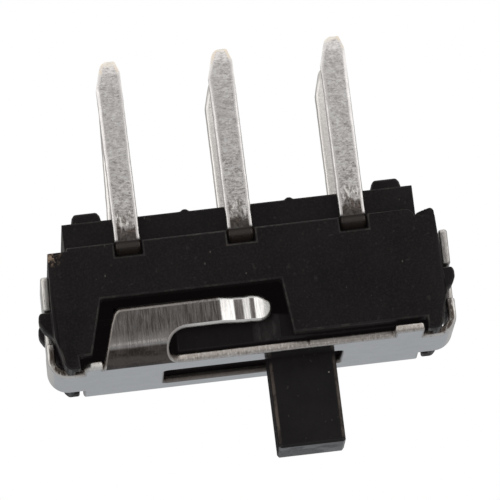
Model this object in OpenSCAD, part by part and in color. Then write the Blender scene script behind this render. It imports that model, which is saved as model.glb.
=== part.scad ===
// Miniature slide switch, double pole, two positions, six straight solder pins in two rows.
// A black moulded housing holds six stamped terminals. A black slider with a square knob carries
// two bridging contact clips along them. A stamped metal cover closes the top: its two end legs snap
// on hooks of the housing, and its front wall is cut free as a wavy leaf spring, the detent.
// X runs along the travel, the spring is on the -Y side, Z points out of the knob side.
// Origin: middle of the seating plane, which the two standoff ribs touch on the circuit board.

/* [Housing] */
// Length of the housing over its two ends
body_l = 8.68; // [8:0.02:14]
// Width of the housing over the front and rear walls
body_w = 3.6; // [3.3:0.02:5]
// Height from the seating plane to the outer face of the cover
body_h = 3.58; // [3.4:0.02:6]
// Thickness of the end walls at their lower edge
end_wall = 0.32; // [0.25:0.01:0.6]
// Thickness of the long walls beside the slider's upper part
side_wall = 0.42; // [0.3:0.01:0.6]
// How far the four corner posts stop short of the cover's outer face
post_in = 0.03; // [0.01:0.01:0.1]
// Inward draft of each end from its middle down to its lower edge
end_draft = 0.05; // [0:0.01:0.15]
// Chamfer on the outer edge of each corner post's end
post_edge = 0.1; // [0.02:0.01:0.15]
// Radius of the housing's upright corners
corner_r = 0.1; // [0.05:0.01:0.25]
// Thickness of the moulded floor above the lower edge of the long walls
floor_t = 0.52; // [0.4:0.01:1]
// Height of the long walls' lower edge above the seating plane
skirt_z = 0.84; // [0.7:0.01:1]
// Height of the ridge between the pin rows above the seating plane
ridge_z = 0.25; // [0.15:0.01:0.6]
// Length of that ridge
ridge_l = 7.8; // [6.6:0.05:9]

/* [Standoffs] */
// Distance between the middles of the two standoff ribs
rib_pitch = 6.68; // [6.2:0.02:7.6]
// Width of a rib at its root
rib_root = 0.7; // [0.4:0.01:0.9]
// Width of a rib at its flat tip
rib_tip = 0.5; // [0.3:0.01:0.7]
// Chamfer on the long edges of a rib's tip
rib_edge = 0.06; // [0.02:0.01:0.1]
// Length of a rib across the housing
rib_l = 2.4; // [1:0.05:2.8]
// Distance between the two small locating nubs on the ridge's edges
nub_pitch = 2.32; // [1.6:0.02:3.2]
// Width of a nub
nub_w = 0.22; // [0.1:0.01:0.4]
// Height of a nub over the ridge
nub_h = 0.05; // [0.02:0.01:0.1]

/* [Terminals] */
// Distance from pin to pin along a row
pin_pitch = 2.5; // [2:0.05:3.2]
// Distance between the middles of the two rows
row_pitch = 3.26; // [3:0.02:4.4]
// Width of a pin
pin_w = 0.58; // [0.4:0.01:0.8]
// Thickness of the strip that the terminals are stamped from
pin_t = 0.3; // [0.2:0.01:0.4]
// Length of a pin below the seating plane
pin_l = 3.24; // [2:0.02:5]
// Width of the contact blade inside
blade_w = 0.8; // [0.6:0.01:1]
// Gap between a pin and the sides of its notch in the wall
notch_gap = 0.02; // [0.01:0.01:0.05]
// How far a blade's face stands proud of the wall beside it
blade_proud = 0.05; // [0.02:0.01:0.1]
// Width of the chamfer on a pin's edges
pin_edge = 0.04; // [0.02:0.01:0.08]

/* [Slider] */
// Travel of the slider between its two stops
travel = 2.15; // [1.5:0.05:2.6]
// Length of the knob along the travel
knob_l = 1.5; // [1:0.02:2.4]
// Depth of the knob across the travel
knob_d = 1.38; // [0.9:0.02:1.6]
// Height of the knob over the cover
knob_h = 2; // [1:0.05:5]
// Distance of the knob's middle behind the middle of the housing
knob_back = 0.35; // [0.1:0.01:0.4]
// Radius of the knob's upright edges
knob_r = 0.13; // [0.05:0.01:0.3]
// Width of the small chamfer round the knob's end
knob_edge = 0.05; // [0.02:0.01:0.12]
// Height of the detent ridge on the slider's front
ridge_h = 0.2; // [0.1:0.01:0.24]
// Length of that ridge's flat crest
crest_l = 0.56; // [0.3:0.02:0.9]
// Running clearance round the slider
slide_gap = 0.04; // [0.02:0.01:0.08]
// Clearance between the slider and the end walls at each stop
stop_gap = 0.1; // [0.05:0.01:0.2]

/* [Contact clips] */
// Thickness of the clip strip
clip_t = 0.1; // [0.06:0.01:0.14]
// Height of the clip strip
clip_h = 0.44; // [0.3:0.01:0.5]
// Length of a clip's flat middle
clip_flat = 0.9; // [0.6:0.02:1.4]
// How far a clip's curled end reaches past its contact point
clip_curl = 0.32; // [0.2:0.01:0.5]
// Diameter of the peg that holds a clip
peg_d = 0.24; // [0.15:0.01:0.3]
// Gap left between a clip's contact point and a blade
contact_gap = 0.01; // [0.005:0.005:0.02]

/* [Cover] */
// Thickness of the sheet
sheet_t = 0.18; // [0.12:0.01:0.2]
// Outer radius of the bends into the end legs
leg_bend = 0.45; // [0.3:0.01:0.5]
// Outer radius of the bend into the spring's root
wall_bend = 0.35; // [0.25:0.01:0.35]
// Width of the end legs
leg_w = 1.9; // [1.6:0.02:2.3]
// Distance of the legs' middle behind the middle of the housing
leg_back = 0.05; // [-0.1:0.01:0.1]
// Length of a leg, from the cover's outer face to its tip
leg_l = 2.33; // [2.1:0.01:2.6]
// Gap between a leg and the end of the housing
leg_gap = 0.02; // [0.01:0.01:0.05]
// Distance of the full-width part's ends from the ends of the housing
tab_in = 0.57; // [0.4:0.01:0.8]
// Length of the wide tab at the front left corner
tab_l = 0.66; // [0.4:0.02:1]
// Clearance between the knob and each long side of its slot
slot_side = 0.08; // [0.04:0.01:0.12]
// Clearance between the knob and each end of its slot
slot_end = 0.15; // [0.1:0.01:0.2]
// Corner radius of the slot
slot_r = 0.12; // [0.05:0.01:0.2]

/* [Spring] */
// Height of the spring arm's strip
arm_h = 0.57; // [0.4:0.01:0.65]
// Distance from the cover's outer face to the near edge of the arm
arm_drop = 0.71; // [0.65:0.01:0.8]
// Length of the arm from its root's right edge to its tip
arm_l = 3.84; // [3.2:0.02:4]
// Length of the root that joins the arm to the cover
root_l = 1.48; // [1:0.02:1.8]
// Radius of the slot's round end, between the arm and the edge of the cover
gap_r = 0.41; // [0.35:0.01:0.45]
// Distance from the arm's tip to the middle of its detent wave
wave_in = 0.74; // [0.7:0.01:0.8]
// Length of the detent wave
wave_l = 0.76; // [0.6:0.02:0.8]
// Depth of the detent wave
wave_d = 0.19; // [0.1:0.01:0.2]
// Inward curl of the arm's tip
tip_curl = 0.12; // [0:0.01:0.15]
// Distance from the front of the housing to the arm's outer face
arm_in = 0.15; // [0.05:0.01:0.2]

/* [Snap hooks] */
// How far a hook stands out from the end of the housing
hook_out = 0.29; // [0.22:0.01:0.4]
// Depth of a hook across the housing
hook_d = 0.48; // [0.3:0.01:0.6]
// Height of a hook, catch face to the end of its slope
hook_h = 0.6; // [0.45:0.01:0.9]
// Distance from the cover's outer face to the hooks' catch face
hook_drop = 1.5; // [1.4:0.01:1.6]

/* [Hidden] */
$fn = 64;
e = 0.01;
plastic = "#1b1b1d";
tin = "#c9cacb";
bronze = "#c48a55";

xe = body_l / 2;
yb = body_w / 2;
z_face = body_h;
z_in = z_face - sheet_t;
z_floor = skirt_z + floor_t;
ledge_z = z_face - hook_drop - 0.04;
rim_z = z_in - 0.12;
draft_z = ledge_z + 0.1;
taper_z = z_face - 0.83;
post_z = z_face - post_in;
post_x = xe - 0.15;
notch_z = skirt_z + 0.32;
corner_z = skirt_z + 0.08;
cav_x = xe - end_draft - end_wall;
cav_y = yb - side_wall;

// Contact level, below the ledge
blade_y = row_pitch / 2 - 0.43;
low_y = blade_y - pin_t / 2 + blade_proud;
block_y = blade_y - pin_t / 2 - 0.07;
seat_y = block_y - 0.28;
blade_top = ledge_z - 0.06;
clip_z = (z_floor + ledge_z) / 2;
clip_x = pin_pitch / 2;
clip_end = clip_x + clip_curl;

// Cover
tab_x = xe - tab_in;
leg_x = xe + leg_gap + sheet_t;
arm_y = -yb + arm_in;
lip_y = arm_y + wall_bend;
root_x = tab_x - 0.42;
tip_x = root_x - arm_l;
wave_x = tip_x + wave_in;
arm_top = z_face - arm_drop;
arm_low = arm_top - arm_h;
gap_x = root_x - root_l - gap_r;
leg_y0 = leg_back - leg_w / 2;
leg_y1 = leg_back + leg_w / 2;
hook_z = z_face - hook_drop;

// Slider, in its own frame: its middle is at 0 halfway through the travel
flange_x = cav_x - travel / 2 - stop_gap;
block_x = clip_end + 0.2;
crest_y = -cav_y + 0.05;
valley_y = crest_y + ridge_h;
flank_l = travel / 2 - wave_l / 2 - crest_l / 2 + 0.02;
rest_x = -travel / 2;
slot_x = knob_l / 2 + travel / 2 + slot_end;
slot_y = knob_d / 2 + slot_side;
recess_z = arm_low - 0.24;
recess_x0 = tip_x - 0.27;
recess_x1 = root_x - 0.11;

// A rectangle with true round corners, centred on the origin
module round_rect(l, w, r) {
  square([l - 2 * r, w], center = true);
  square([l, w - 2 * r], center = true);
  for (x = [-1, 1], y = [-1, 1])
    translate([x * (l / 2 - r), y * (w / 2 - r)])
      circle(r);
}

// A profile drawn in X and Z, with thickness along Y from y0 to y1
module slab_y(y0, y1) {
  translate([0, y1, 0])
    rotate([90, 0, 0])
      linear_extrude(y1 - y0)
        children();
}

// A profile drawn in Y and Z, with thickness along X from x0 to x1
module slab_x(x0, x1) {
  translate([x0, 0, 0])
    rotate([90, 0, 90])
      linear_extrude(x1 - x0)
        children();
}

module box(x0, x1, y0, y1, z0, z1) {
  translate([x0, y0, z0])
    cube([x1 - x0, y1 - y0, z1 - z0]);
}

// ---------- Housing ----------

module end_profile() {
  polygon([
    [-xe + end_draft, corner_z], [-ridge_l / 2 + 0.03, corner_z], [-ridge_l / 2 + 0.03, skirt_z],
    [ridge_l / 2 - 0.03, skirt_z], [ridge_l / 2 - 0.03, corner_z], [xe - end_draft, corner_z],
    [xe, draft_z], [xe, taper_z], [post_x, post_z - post_edge], [post_x - post_edge, post_z],
    [-post_x + post_edge, post_z], [-post_x, post_z - post_edge], [-xe, taper_z], [-xe, draft_z]
  ]);
}

module housing_shell() {
  intersection() {
    slab_y(-yb, yb)
      end_profile();
    linear_extrude(body_h + 1)
      round_rect(2 * xe, 2 * yb, corner_r);
  }
}

module rib() {
  slab_y(-rib_l / 2, rib_l / 2)
    polygon([
      [-rib_root / 2, ridge_z + e], [-rib_tip / 2 - rib_edge, rib_edge * 1.4], [-rib_tip / 2, 0],
      [rib_tip / 2, 0], [rib_tip / 2 + rib_edge, rib_edge * 1.4], [rib_root / 2, ridge_z + e]
    ]);
}

module nub() {
  slab_y(-ridge_y(), -ridge_y() + 0.35)
    polygon([
      [-nub_w / 2, ridge_z + e], [-nub_w / 5, ridge_z - nub_h],
      [nub_w / 5, ridge_z - nub_h], [nub_w / 2, ridge_z + e]
    ]);
}

function ridge_y() = row_pitch / 2 - pin_t / 2 - 0.03;

// One hook: a flat catch face below, a rounded nose and a long slope that the leg rides up
module hook_profile() {
  polygon([
    [xe - 0.1, hook_z], [xe + hook_out - 0.04, hook_z], [xe + hook_out, hook_z + 0.08],
    [xe + hook_out, hook_z + 0.24], [xe + hook_out - 0.08, hook_z + hook_h - 0.22],
    [xe, hook_z + hook_h], [xe - 0.1, hook_z + hook_h]
  ]);
}

module hooks() {
  for (m = [0, 1]) mirror([m, 0, 0]) {
    slab_y(leg_y0 - 0.09, leg_y0 - 0.09 + hook_d)
      hook_profile();
    slab_y(leg_y1 + 0.09 - hook_d, leg_y1 + 0.09)
      hook_profile();
  }
}

// The opening in the front wall that the spring arm lies in, wider towards the cover
module recess_profile() {
  flare = z_face - recess_z;
  polygon([
    [recess_x0, recess_z], [recess_x1, recess_z],
    [recess_x1 + 0.27 * flare, z_face], [recess_x1 + 0.27 * flare, z_face + 1],
    [recess_x0 - 0.11 * flare, z_face + 1], [recess_x0 - 0.11 * flare, z_face]
  ]);
}

// Low ledge round the gate, at the front left corner, with the wall's edge rounded into it
module gate_ledge() {
  x0 = -xe - e;
  x1 = -ridge_l / 2 + 0.05;
  slab_y(-yb - e, -ridge_y())
    difference() {
      translate([x0, skirt_z - e])
        square([x1 + 0.2 - x0, 0.2 + e]);
      translate([x1 + 0.2, skirt_z + 0.2])
        circle(0.2);
    }
}

// Rounded ear beside the ledge, with the shallow pocket that the gate was cut off in
module gate_ear() {
  x = -xe + end_draft;
  z = corner_z;
  difference() {
    slab_y(-yb, -ridge_y() + 0.02)
      polygon([
        [x, z + 0.14], [x + 0.006, z + 0.02], [x + 0.03, z - 0.03], [x + 0.07, z - 0.055],
        [x + 0.12, z - 0.05], [x + 0.17, z - 0.035], [x + 0.26, z - 0.025], [x + 0.36, z + 0.01],
        [x + 0.43, z + 0.07], [x + 0.47, z + 0.14]
      ]);
    slab_y(-yb - e, -yb + 0.07)
      translate([x + 0.29, z + 0.01])
        circle(0.085);
  }
}

// Chamfer on each end of the rim, under the bend of the cover's leg
module bend_relief() {
  x0 = leg_x - leg_bend - 0.02;
  for (m = [0, 1])
    mirror([m, 0, 0])
      slab_y(leg_y0 - 0.1, leg_y1 + 0.1)
        polygon([[x0, z_in + e], [x0, z_in], [x0 + leg_bend, z_in - leg_bend], [x0 + leg_bend, z_in + e]]);
}

// Open notches in the long walls, where the pins come out flush with the wall
module pin_notches() {
  for (i = [-1, 0, 1], m = [0, 1])
    mirror([0, m, 0])
      box(i * pin_pitch - pin_w / 2 - notch_gap, i * pin_pitch + pin_w / 2 + notch_gap,
          -yb - e, -row_pitch / 2, skirt_z - e, notch_z);
}

module housing() color(plastic) difference() {
  union() {
    difference() {
      housing_shell();
      // Rim: the cover lies on the ends and the rear wall, the front wall stops short of it
      box(-tab_x - 0.08, tab_x + 0.08, -yb - e, yb + e, z_in, z_face + e);
      box(-xe - e, xe + e, leg_y0 - 0.1, leg_y1 + 0.1, z_in, z_face + e);
      box(-tab_x - 0.08, tab_x + 0.08, -yb - e, -cav_y + e, rim_z, z_face);
      gate_ledge();
      bend_relief();
    }
    box(-ridge_l / 2, ridge_l / 2, -ridge_y(), ridge_y(), ridge_z, corner_z + 0.1);
    for (x = [-1, 1])
      translate([x * rib_pitch / 2, 0, 0])
        rib();
    for (x = [-1, 1], m = [0, 1])
      mirror([0, m, 0])
        translate([x * nub_pitch / 2, 0, 0])
          nub();
    hooks();
    gate_ear();
  }
  // Space for the slider's upper part, and the narrower contact space under it
  box(-cav_x, cav_x, -cav_y, cav_y, ledge_z, z_face + 1);
  box(-cav_x + 0.25, cav_x - 0.25, -low_y, low_y, z_floor, ledge_z + 1);
  slab_y(-yb - 1, -cav_y + 0.02)
    recess_profile();
  pin_notches();
  terminals();
}

// ---------- Terminals ----------

// Side view of a front terminal: straight pin, a jog inward through the floor, contact blade
module terminal_side() {
  t = pin_t / 2;
  y0 = -row_pitch / 2;
  y1 = -blade_y;
  // At a bend of about 45 degrees the outer corner leads and the inner one trails
  k = t * 0.42;
  za = skirt_z + k + 0.01;
  zb = z_floor - 0.04;
  polygon([
    [y0 - t, -pin_l - e], [y0 + t, -pin_l - e], [y0 + t, za - k], [y1 + t, zb - k],
    [y1 + t, blade_top - 0.08], [y1 + t - 0.1, blade_top], [y1 - t, blade_top],
    [y1 - t, zb + k], [y0 - t, za + k]
  ]);
}

// Front view: the tip has a long taper on one side and a short chamfer on the other
module terminal_front() {
  w = pin_w / 2;
  b = blade_w / 2;
  polygon([
    [-w, -pin_l + 0.3], [-w + 0.08, -pin_l + 0.1], [-w + 0.18, -pin_l], [0.02, -pin_l],
    [w - 0.17, -pin_l + 0.08], [w, -pin_l + 0.62], [w, skirt_z + 0.32], [b, skirt_z + 0.38],
    [b, blade_top + e], [-b, blade_top + e], [-b, skirt_z + 0.38], [-w, skirt_z + 0.32]
  ]);
}

// Chamfers along the pin's four long edges
module pin_edges() {
  w = pin_w / 2;
  t = pin_t / 2;
  c = pin_edge;
  linear_extrude(pin_l + skirt_z)
    polygon([
      [-w, -t + c], [-w + c, -t], [w - c, -t], [w, -t + c],
      [w, t - c], [w - c, t], [-w + c, t], [-w, t - c]
    ]);
}

module terminal() {
  intersection() {
    slab_x(-blade_w, blade_w)
      terminal_side();
    slab_y(-row_pitch, 0)
      terminal_front();
    union() {
      translate([0, -row_pitch / 2, -pin_l])
        pin_edges();
      box(-blade_w, blade_w, -row_pitch, 0, skirt_z - e, z_face);
    }
  }
}

module terminal_at(i, rear) {
  color(tin)
    translate([i * pin_pitch, 0, 0])
      mirror([0, rear, 0])
        terminal();
}

module terminals() {
  for (i = [-1, 0, 1], rear = [0, 1])
    terminal_at(i, rear);
}

module terminal_front_left() terminal_at(-1, 0);
module terminal_front_middle() terminal_at(0, 0);
module terminal_front_right() terminal_at(1, 0);
module terminal_rear_left() terminal_at(-1, 1);
module terminal_rear_middle() terminal_at(0, 1);
module terminal_rear_right() terminal_at(1, 1);

// ---------- Slider and its contact clips ----------

module slider_plan() {
  r0 = wave_x - crest_l / 2;
  r1 = wave_x + crest_l / 2;
  polygon([
    [-flange_x, valley_y], [r0 - flank_l, valley_y], [r0, crest_y], [r1, crest_y],
    [r1 + flank_l, valley_y], [flange_x, valley_y],
    [flange_x, cav_y - slide_gap], [-flange_x, cav_y - slide_gap]
  ]);
}

module clip_pocket() {
  box(-clip_end - 0.1, clip_end + 0.1, -block_y - e, -seat_y, z_floor, clip_z + clip_h / 2 + slide_gap);
}

module clip_peg() {
  translate([0, -seat_y + e, clip_z])
    rotate([90, 0, 0])
      cylinder(d = peg_d, h = clip_t + 0.06);
}

module knob() {
  z0 = z_in - slide_gap - e;
  z1 = z_face + knob_h;
  c = knob_edge;
  translate([0, knob_back, 0]) intersection() {
    translate([0, 0, z0])
      linear_extrude(z1 - z0)
        round_rect(knob_l, knob_d, knob_r);
    slab_x(-knob_l, knob_l)
      polygon([
        [-knob_d / 2, z0], [knob_d / 2, z0], [knob_d / 2, z1 - c], [knob_d / 2 - c, z1],
        [-knob_d / 2 + c, z1], [-knob_d / 2, z1 - c]
      ]);
    slab_y(-knob_d, knob_d)
      polygon([
        [-knob_l / 2, z0], [knob_l / 2, z0], [knob_l / 2, z1 - c], [knob_l / 2 - c, z1],
        [-knob_l / 2 + c, z1], [-knob_l / 2, z1 - c]
      ]);
  }
}

module slider() color(plastic) translate([rest_x, 0, 0]) {
  difference() {
    union() {
      translate([0, 0, ledge_z + slide_gap])
        linear_extrude(z_in - ledge_z - 2 * slide_gap)
          slider_plan();
      box(-block_x, block_x, -block_y, block_y, z_floor + slide_gap, ledge_z + 2 * slide_gap);
      knob();
    }
    clip_pocket();
    mirror([0, 1, 0])
      clip_pocket();
  }
  clip_peg();
  mirror([0, 1, 0])
    clip_peg();
}

// Plan of a clip's outer face: flat middle, straight slopes, round contact point, curled end
function clip_rise() = blade_y - pin_t / 2 - contact_gap - seat_y - clip_t;
function clip_path(x) = let (a = abs(x), f = clip_flat / 2, k = clip_x - 0.12)
  a < f ? 0 :
  a < k ? clip_rise() * 0.86 * (a - f) / (k - f) :
  clip_rise() * (1 - 0.14 * pow((a - clip_x) / 0.12, 2) * (a < clip_x ? 1 : 0.62));

module clip_plan() {
  xs = concat([for (i = [0:5]) -clip_end + i * (clip_end - clip_x + 0.12) / 5],
              [-clip_flat / 2, clip_flat / 2],
              [for (i = [0:5]) clip_x - 0.12 + i * (clip_end - clip_x + 0.12) / 5]);
  n = len(xs) - 1;
  polygon(concat(
    [for (i = [0:n]) [xs[i], -seat_y - clip_t - clip_path(xs[i])]],
    [for (i = [n:-1:0]) [xs[i], -seat_y - clip_path(xs[i])]]
  ));
}

module contact_clip() {
  color(bronze) translate([rest_x, 0, 0]) difference() {
    translate([0, 0, clip_z - clip_h / 2])
      linear_extrude(clip_h)
        clip_plan();
    translate([0, 0, clip_z])
      rotate([90, 0, 0])
        cylinder(d = peg_d + 0.02, h = 3);
  }
}

module contact_clip_front() contact_clip();
module contact_clip_rear() mirror([0, 1, 0]) contact_clip();

// ---------- Cover with its spring ----------

module cover_plan() {
  polygon([
    [-tab_x, -yb], [-tab_x + tab_l, -yb], [-tab_x + tab_l, lip_y + 0.02], [-tab_x + tab_l + 0.05, lip_y],
    [root_x, lip_y], [root_x, -yb + 0.2], [tab_x - 0.15, -yb + 0.2], [tab_x, -yb + 0.38],
    [tab_x, yb], [-tab_x, yb]
  ]);
}

// Section of a bent sheet: flat from -u0, a quarter bend of outer radius r, then down to v
module bend_section(u0, r, v) {
  translate([-u0, -sheet_t])
    square([u0 - r, sheet_t]);
  translate([-r, -r])
    intersection() {
      difference() {
        circle(r);
        circle(r - sheet_t);
      }
      square(r);
    }
  translate([-sheet_t, v])
    square([sheet_t, -v - r]);
}

module leg() {
  difference() {
    translate([leg_x, 0, z_face])
      slab_y(leg_y0, leg_y1)
        bend_section(leg_x - tab_x + 0.3, leg_bend, -leg_l);
    // Side notches that take the hooks, and a small lead-in at the tip
    for (y = [leg_y0 - 1 + hook_d - 0.04, leg_y1 + 1 - hook_d + 0.04])
      translate([leg_x - sheet_t / 2, y, hook_z + hook_h / 2 + 0.02])
        cube([2 * sheet_t, 2, hook_h + 0.12], center = true);
    translate([leg_x, 0, z_face - leg_l])
      rotate([0, 45, 0])
        cube([0.12, 4, 0.12], center = true);
  }
}

// Outer face of the spring along X: flat, a round wave inward, then the tip curls in
function wave_y(x) =
  abs(x - wave_x) < wave_l / 2
    ? wave_d * pow(cos(180 * (x - wave_x) / wave_l), 1.4)
    : (x < wave_x - wave_l / 2
       ? tip_curl * pow((wave_x - wave_l / 2 - x) / (wave_in - wave_l / 2), 2)
       : 0);

module arm_strip() {
  n = 36;
  x1 = wave_x + wave_l / 2;
  xs = concat([for (i = [0:n]) tip_x - 0.02 + i * (x1 - tip_x + 0.02) / n], [root_x + 0.3]);
  m = len(xs) - 1;
  translate([0, 0, arm_low - 0.1])
    linear_extrude(z_face - wall_bend - arm_low + 0.1)
      polygon(concat(
        [for (i = [0:m]) [xs[i], arm_y + wave_y(xs[i])]],
        [for (i = [m:-1:0]) [xs[i], arm_y + sheet_t + wave_y(xs[i])]]
      ));
}

// Front view of root and arm: slanting left edge, round tip, long slot under the arm
module spring_outline() {
  r = arm_h / 2;
  rc = 0.24;
  slant = atan(0.34 / (z_face - arm_low - 0.08));
  xc = root_x - 0.34 - (rc - (rc - 0.08) * sin(slant)) / cos(slant);
  difference() {
    union() {
      translate([tip_x + r, arm_low + r])
        circle(r);
      polygon(concat(
        [[tip_x + r, arm_low]],
        [for (i = [0:6]) let (a = -90 + i * (90 - slant) / 6) [xc + rc * cos(a), arm_low + rc + rc * sin(a)]],
        [[root_x, z_face], [gap_x - 0.1, z_face], [gap_x - 0.1, arm_top], [tip_x + r, arm_top]]
      ));
    }
    intersection() {
      translate([gap_x, arm_top + gap_r])
        circle(gap_r);
      translate([gap_x - 1, arm_top])
        square([2, gap_r]);
    }
    translate([tip_x - 1, arm_top])
      square([gap_x - tip_x + 1, z_face - arm_top + 1]);
  }
}

module spring() {
  difference() {
    intersection() {
      union() {
        arm_strip();
        translate([0, arm_y, z_face])
          mirror([0, 1, 0])
            slab_x(gap_x - 0.2, root_x + 0.3)
              bend_section(wall_bend + 0.1, wall_bend, -wall_bend - 0.1);
      }
      slab_y(-yb - 1, 0)
        spring_outline();
    }
    // The slot's round end runs over the bend into the edge of the cover
    translate([gap_x, lip_y - gap_r, arm_top + gap_r])
      cylinder(r = gap_r, h = 1);
  }
}

module cover() color(tin) {
  difference() {
    translate([0, 0, z_in])
      linear_extrude(sheet_t)
        cover_plan();
    translate([0, knob_back, z_in - 1])
      linear_extrude(3)
        round_rect(2 * slot_x, 2 * slot_y, slot_r);
  }
  for (m = [0, 1])
    mirror([m, 0, 0])
      leg();
  spring();
}

housing();
terminal_front_left();
terminal_front_middle();
terminal_front_right();
terminal_rear_left();
terminal_rear_middle();
terminal_rear_right();
slider();
contact_clip_front();
contact_clip_rear();
cover();
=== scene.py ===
"""Looks of a miniature slide switch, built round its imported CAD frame. Lengths below are in mm."""
import math
import bmesh
import bpy
from mathutils import Matrix, Vector, noise
from mathutils.bvhtree import BVHTree


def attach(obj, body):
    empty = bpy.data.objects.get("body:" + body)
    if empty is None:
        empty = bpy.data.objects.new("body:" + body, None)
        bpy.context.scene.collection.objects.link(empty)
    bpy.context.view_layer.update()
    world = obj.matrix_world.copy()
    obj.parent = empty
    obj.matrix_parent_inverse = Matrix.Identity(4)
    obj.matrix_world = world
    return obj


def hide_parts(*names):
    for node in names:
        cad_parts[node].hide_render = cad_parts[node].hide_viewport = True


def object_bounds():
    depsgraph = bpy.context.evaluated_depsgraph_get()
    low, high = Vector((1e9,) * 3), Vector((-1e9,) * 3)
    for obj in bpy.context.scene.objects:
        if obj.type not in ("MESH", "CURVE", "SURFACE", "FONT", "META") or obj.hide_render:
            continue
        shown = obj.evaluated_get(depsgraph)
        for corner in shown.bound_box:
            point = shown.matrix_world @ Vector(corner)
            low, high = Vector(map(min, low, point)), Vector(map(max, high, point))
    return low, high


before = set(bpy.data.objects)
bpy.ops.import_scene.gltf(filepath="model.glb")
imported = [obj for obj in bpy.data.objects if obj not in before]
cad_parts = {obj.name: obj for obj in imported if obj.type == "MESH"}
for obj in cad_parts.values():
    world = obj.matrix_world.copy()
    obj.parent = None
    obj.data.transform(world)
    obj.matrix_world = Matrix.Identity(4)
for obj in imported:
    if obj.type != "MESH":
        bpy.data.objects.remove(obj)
cad_lo, cad_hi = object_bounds()
MM = 0.001

# ---------------------------------------------------------------- sizes and places

# Knob: its end, height and front face, half its length, and where its middle is at rest
KNOB_END = cad_hi[2] / MM
KNOB_H, KNOB_FRONT = 2.0, -0.34
KNOB_HALF, REST_X = 0.75, -1.075

# Cover: outer face, sheet thickness, half sizes of the plate
FACE_Z = KNOB_END - KNOB_H
SHEET_T = 0.18
TAB_X, PLATE_Y = 3.77, 1.8
# Front lip, where it steps back at its left end, and the nick in it
LIP_Y, LIP_END, NICK_X = -1.30, -3.12, -1.21
# Slot for the knob: half its length, its middle, half its width and its corner radius
SLOT_X, SLOT_MID, SLOT_HALF, SLOT_R = 1.975, 0.35, 0.77, 0.12
# Snap legs: bend as (reach out, reach down), where it starts, both sides, drop, notch ends and depth
LEG_BEND, LEG_START = (0.45, 0.45), 4.09
LEG_FRONT, LEG_BACK = -0.90, 1.00
LEG_DROP = 2.33
NOTCH_TOP, NOTCH_LOW, NOTCH_DEEP = 2.76, 2.04, 0.44
# Leaf spring: bend from plate to wall, root, how far the root slants in by the height SLANT_Z, and tip
WALL_BEND = (0.35, 0.55)
ROOT_X, SLANT, SLANT_Z, TIP_X = 3.35, 0.34, 2.38, -0.49
# Its upper and lower edge, the end of the gap above it, and a length of sheet from the lip past the bend
ARM_TOP, ARM_LOW = FACE_Z - 0.71, FACE_Z - 1.325
GAP_END = ROOT_X - 1.48
PAST_BEND = 0.75
# Slope of its outer face at places along X, towards the tip: a slight lean out, then two dips and a curl
WAVE_START = 0.66
WAVE = ((1.60, 0.0), (1.50, -0.036), (0.76, -0.036), (WAVE_START, 0.0), (0.62, 0.32), (0.58, 0.46),
        (0.36, 0.50), (0.33, 0.10), (0.31, 0.0), (0.155, 0.0), (0.13, -0.46), (0.01, -0.52), (-0.015, -0.10),
        (-0.03, 0.0), (-0.10, 0.0), (-0.13, 0.46), (-0.27, 0.50), (-0.30, 0.22), (-0.40, 0.12), (-0.60, 0.20))

# Terminals: tip, pin width and thickness, spacing along X, and the distance of both rows from the middle
PIN_Z = cad_lo[2] / MM
PIN_W, PIN_T, PITCH, ROW_Y = 0.58, 0.30, 2.5, 1.63
# Contact blade: width, place and top, and the heights between which the strip widens to it
BLADE_W, BLADE_Y, BLADE_TOP = 0.80, 1.20, 1.98
WIDEN_Z = (1.16, 1.22)
# Heights of the skirt and of the floor that the strip jogs through
SKIRT_Z, FLOOR_Z = 0.84, 1.36

# Single marks: the corner the flash hung from, a pale speck on the knob, a painted reflection of the spring's
# tip on the slider
FLASH_AT = (4.22, -1.8, 0.98)
SPECK_AT = (-1.63, KNOB_FRONT, 4.01)
SPRING_REFLECTION_AT = (-0.30, -1.19, 3.05)

# Camera: lens on a 36 mm sensor, position, viewing direction and roll
LENS = 554.5
CAMERA_AT = (8.518, -168.195, 32.640)
CAMERA_LOOK = (-0.05115, 0.98149, -0.18456)
CAMERA_ROLL = 3.0174


# ---------------------------------------------------------------- materials

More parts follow.
